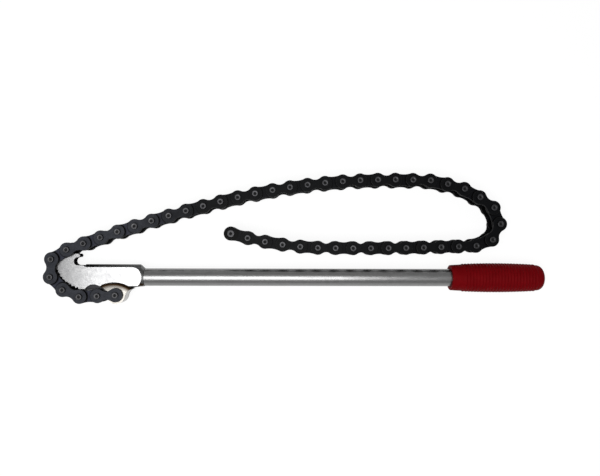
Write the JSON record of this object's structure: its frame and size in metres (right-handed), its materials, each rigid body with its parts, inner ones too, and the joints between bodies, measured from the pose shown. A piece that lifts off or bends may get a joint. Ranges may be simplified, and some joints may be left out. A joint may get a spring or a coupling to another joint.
{
  "type": "chain wrench",
  "caption": "Chain wrench: forged steel jaw with a toothed nose and a hook on a round bar, a ribbed grip, and a pinned chain that wraps a pipe and catches in the hook.",
  "frame": {"origin": "on the bar's axis, half way along the bare bar between the jaw and the grip", "axes": "+X along the bar towards the grip, +Y across it towards the hook's side, +Z out of the upper face as the tool lies flat, along every chain pin"},
  "size_m": [0.3605, 0.095, 0.0214],
  "materials": {
    "jaw": "forged, milled satin faces",
    "bar": "drawn round bar, bright",
    "grip": "dark red dipped vinyl, ribbed",
    "outer_chain": "oiled black oxide",
    "inner_chain": "oiled black oxide",
    "rivet": "worn black oxide"
  },
  "bodies": {
    "handle": {"jaw": "jaw", "bar": "bar", "grip": "grip"},
    "chain_01": {"outer_link_01": "outer_chain", "inner_link_01": "inner_chain"},
    "chain_02": {"outer_link_02": "outer_chain", "inner_link_02": "inner_chain"},
    "chain_03": {"outer_link_03": "outer_chain", "inner_link_03": "inner_chain"},
    "chain_04": {"outer_link_04": "outer_chain", "inner_link_04": "inner_chain"},
    "chain_05": {"outer_link_05": "outer_chain", "inner_link_05": "inner_chain"},
    "chain_06": {"outer_link_06": "outer_chain", "inner_link_06": "inner_chain"},
    "chain_07": {"outer_link_07": "outer_chain", "inner_link_07": "inner_chain"},
    "chain_08": {"outer_link_08": "outer_chain", "inner_link_08": "inner_chain"},
    "chain_09": {"outer_link_09": "outer_chain", "inner_link_09": "inner_chain"},
    "chain_10": {"outer_link_10": "outer_chain", "inner_link_10": "inner_chain"},
    "chain_11": {"outer_link_11": "outer_chain", "inner_link_11": "inner_chain"},
    "chain_12": {"outer_link_12": "outer_chain", "inner_link_12": "inner_chain"},
    "chain_13": {"outer_link_13": "outer_chain", "inner_link_13": "inner_chain"},
    "chain_14": {"outer_link_14": "outer_chain", "inner_link_14": "inner_chain"},
    "chain_15": {"outer_link_15": "outer_chain", "inner_link_15": "inner_chain"},
    "chain_16": {"outer_link_16": "outer_chain", "inner_link_16": "inner_chain"},
    "chain_17": {"outer_link_17": "outer_chain", "inner_link_17": "inner_chain"},
    "chain_18": {"outer_link_18": "outer_chain", "inner_link_18": "inner_chain"},
    "chain_19": {"outer_link_19": "outer_chain", "inner_link_19": "inner_chain"},
    "chain_20": {"outer_link_20": "outer_chain", "inner_link_20": "inner_chain"},
    "chain_21": {"outer_link_21": "outer_chain", "inner_link_21": "inner_chain"},
    "chain_22": {"outer_link_22": "outer_chain", "inner_link_22": "inner_chain"},
    "chain_23": {"outer_link_23": "outer_chain", "inner_link_23": "inner_chain"},
    "chain_24": {"outer_link_24": "outer_chain", "inner_link_24": "inner_chain", "end_rivet": "rivet"}
  },
  "joints": [
    {"name": "anchor_hinge", "type": "hinge", "parent": "handle", "child": "chain_01", "pos_m": [-0.13035, -0.0126, 0], "axis": [0, 0, 1], "range_deg": [-90, 90]},
    {"name": "hinge_02", "type": "hinge", "parent": "chain_01", "child": "chain_02", "pos_m": [-0.15573, -0.01371, 0], "axis": [0, 0, 1], "range_deg": [0, 50]},
    {"name": "hinge_03", "type": "hinge", "parent": "chain_02", "child": "chain_03", "pos_m": [-0.17636, 0.00021, 0], "axis": [0, 0, 1], "range_deg": [-42, 138]},
    {"name": "hinge_04", "type": "hinge", "parent": "chain_03", "child": "chain_04", "pos_m": [-0.16487, 0.01971, 0], "axis": [0, 0, 1], "range_deg": [-78, 102]},
    {"name": "hinge_05", "type": "hinge", "parent": "chain_04", "child": "chain_05", "pos_m": [-0.14103, 0.02846, 0], "axis": [0, 0, 1], "range_deg": [0, 20]},
    {"name": "hinge_06", "type": "hinge", "parent": "chain_05", "child": "chain_06", "pos_m": [-0.11698, 0.03662, 0], "axis": [0, 0, 1], "range_deg": [0, 15]},
    {"name": "hinge_07", "type": "hinge", "parent": "chain_06", "child": "chain_07", "pos_m": [-0.09273, 0.0442, 0], "axis": [0, 0, 1], "range_deg": [0, 15]},
    {"name": "hinge_08", "type": "hinge", "parent": "chain_07", "child": "chain_08", "pos_m": [-0.06831, 0.05118, 0], "axis": [0, 0, 1], "range_deg": [0, 12]},
    {"name": "hinge_09", "type": "hinge", "parent": "chain_08", "child": "chain_09", "pos_m": [-0.04373, 0.05756, 0], "axis": [0, 0, 1], "range_deg": [0, 12]},
    {"name": "hinge_10", "type": "hinge", "parent": "chain_09", "child": "chain_10", "pos_m": [-0.01888, 0.06282, 0], "axis": [0, 0, 1], "range_deg": [0, 12]},
    {"name": "hinge_11", "type": "hinge", "parent": "chain_10", "child": "chain_11", "pos_m": [0.00621, 0.06677, 0], "axis": [0, 0, 1], "range_deg": [0, 10]},
    {"name": "hinge_12", "type": "hinge", "parent": "chain_11", "child": "chain_12", "pos_m": [0.03147, 0.0694, 0], "axis": [0, 0, 1], "range_deg": [0, 10]},
    {"name": "hinge_13", "type": "hinge", "parent": "chain_12", "child": "chain_13", "pos_m": [0.05683, 0.07071, 0], "axis": [0, 0, 1], "range_deg": [0, 8]},
    {"name": "hinge_14", "type": "hinge", "parent": "chain_13", "child": "chain_14", "pos_m": [0.08223, 0.07078, 0], "axis": [0, 0, 1], "range_deg": [0, 5]},
    {"name": "hinge_15", "type": "hinge", "parent": "chain_14", "child": "chain_15", "pos_m": [0.10737, 0.06791, 0], "axis": [0, 0, 1], "range_deg": [0, 4]},
    {"name": "hinge_16", "type": "hinge", "parent": "chain_15", "child": "chain_16", "pos_m": [0.13082, 0.05856, 0], "axis": [0, 0, 1], "range_deg": [0, 3]},
    {"name": "hinge_17", "type": "hinge", "parent": "chain_16", "child": "chain_17", "pos_m": [0.14569, 0.03918, 0], "axis": [0, 0, 1], "range_deg": [0, 3]},
    {"name": "hinge_18", "type": "hinge", "parent": "chain_17", "child": "chain_18", "pos_m": [0.12803, 0.02342, 0], "axis": [0, 0, 1], "range_deg": [0, 3]},
    {"name": "hinge_19", "type": "hinge", "parent": "chain_18", "child": "chain_19", "pos_m": [0.10265, 0.0224, 0], "axis": [0, 0, 1], "range_deg": [0, 4]},
    {"name": "hinge_20", "type": "hinge", "parent": "chain_19", "child": "chain_20", "pos_m": [0.07726, 0.02174, 0], "axis": [0, 0, 1], "range_deg": [0, 5]},
    {"name": "hinge_21", "type": "hinge", "parent": "chain_20", "child": "chain_21", "pos_m": [0.05186, 0.02143, 0], "axis": [0, 0, 1], "range_deg": [0, 8]},
    {"name": "hinge_22", "type": "hinge", "parent": "chain_21", "child": "chain_22", "pos_m": [0.02646, 0.02147, 0], "axis": [0, 0, 1], "range_deg": [-2, 10]},
    {"name": "hinge_23", "type": "hinge", "parent": "chain_22", "child": "chain_23", "pos_m": [0.00108, 0.0224, 0], "axis": [0, 0, 1], "range_deg": [-4, 15]},
    {"name": "hinge_24", "type": "hinge", "parent": "chain_23", "child": "chain_24", "pos_m": [-0.02408, 0.0258, 0], "axis": [0, 0, 1], "range_deg": [-20, 30]}
  ],
  "couplings": [
    {"joint": "anchor_hinge", "follows": "hinge_02", "ratio": 0.3},
    {"joint": "hinge_03", "follows": "hinge_02", "ratio": 0.9},
    {"joint": "hinge_04", "follows": "hinge_02", "ratio": 0.3}
  ]
}
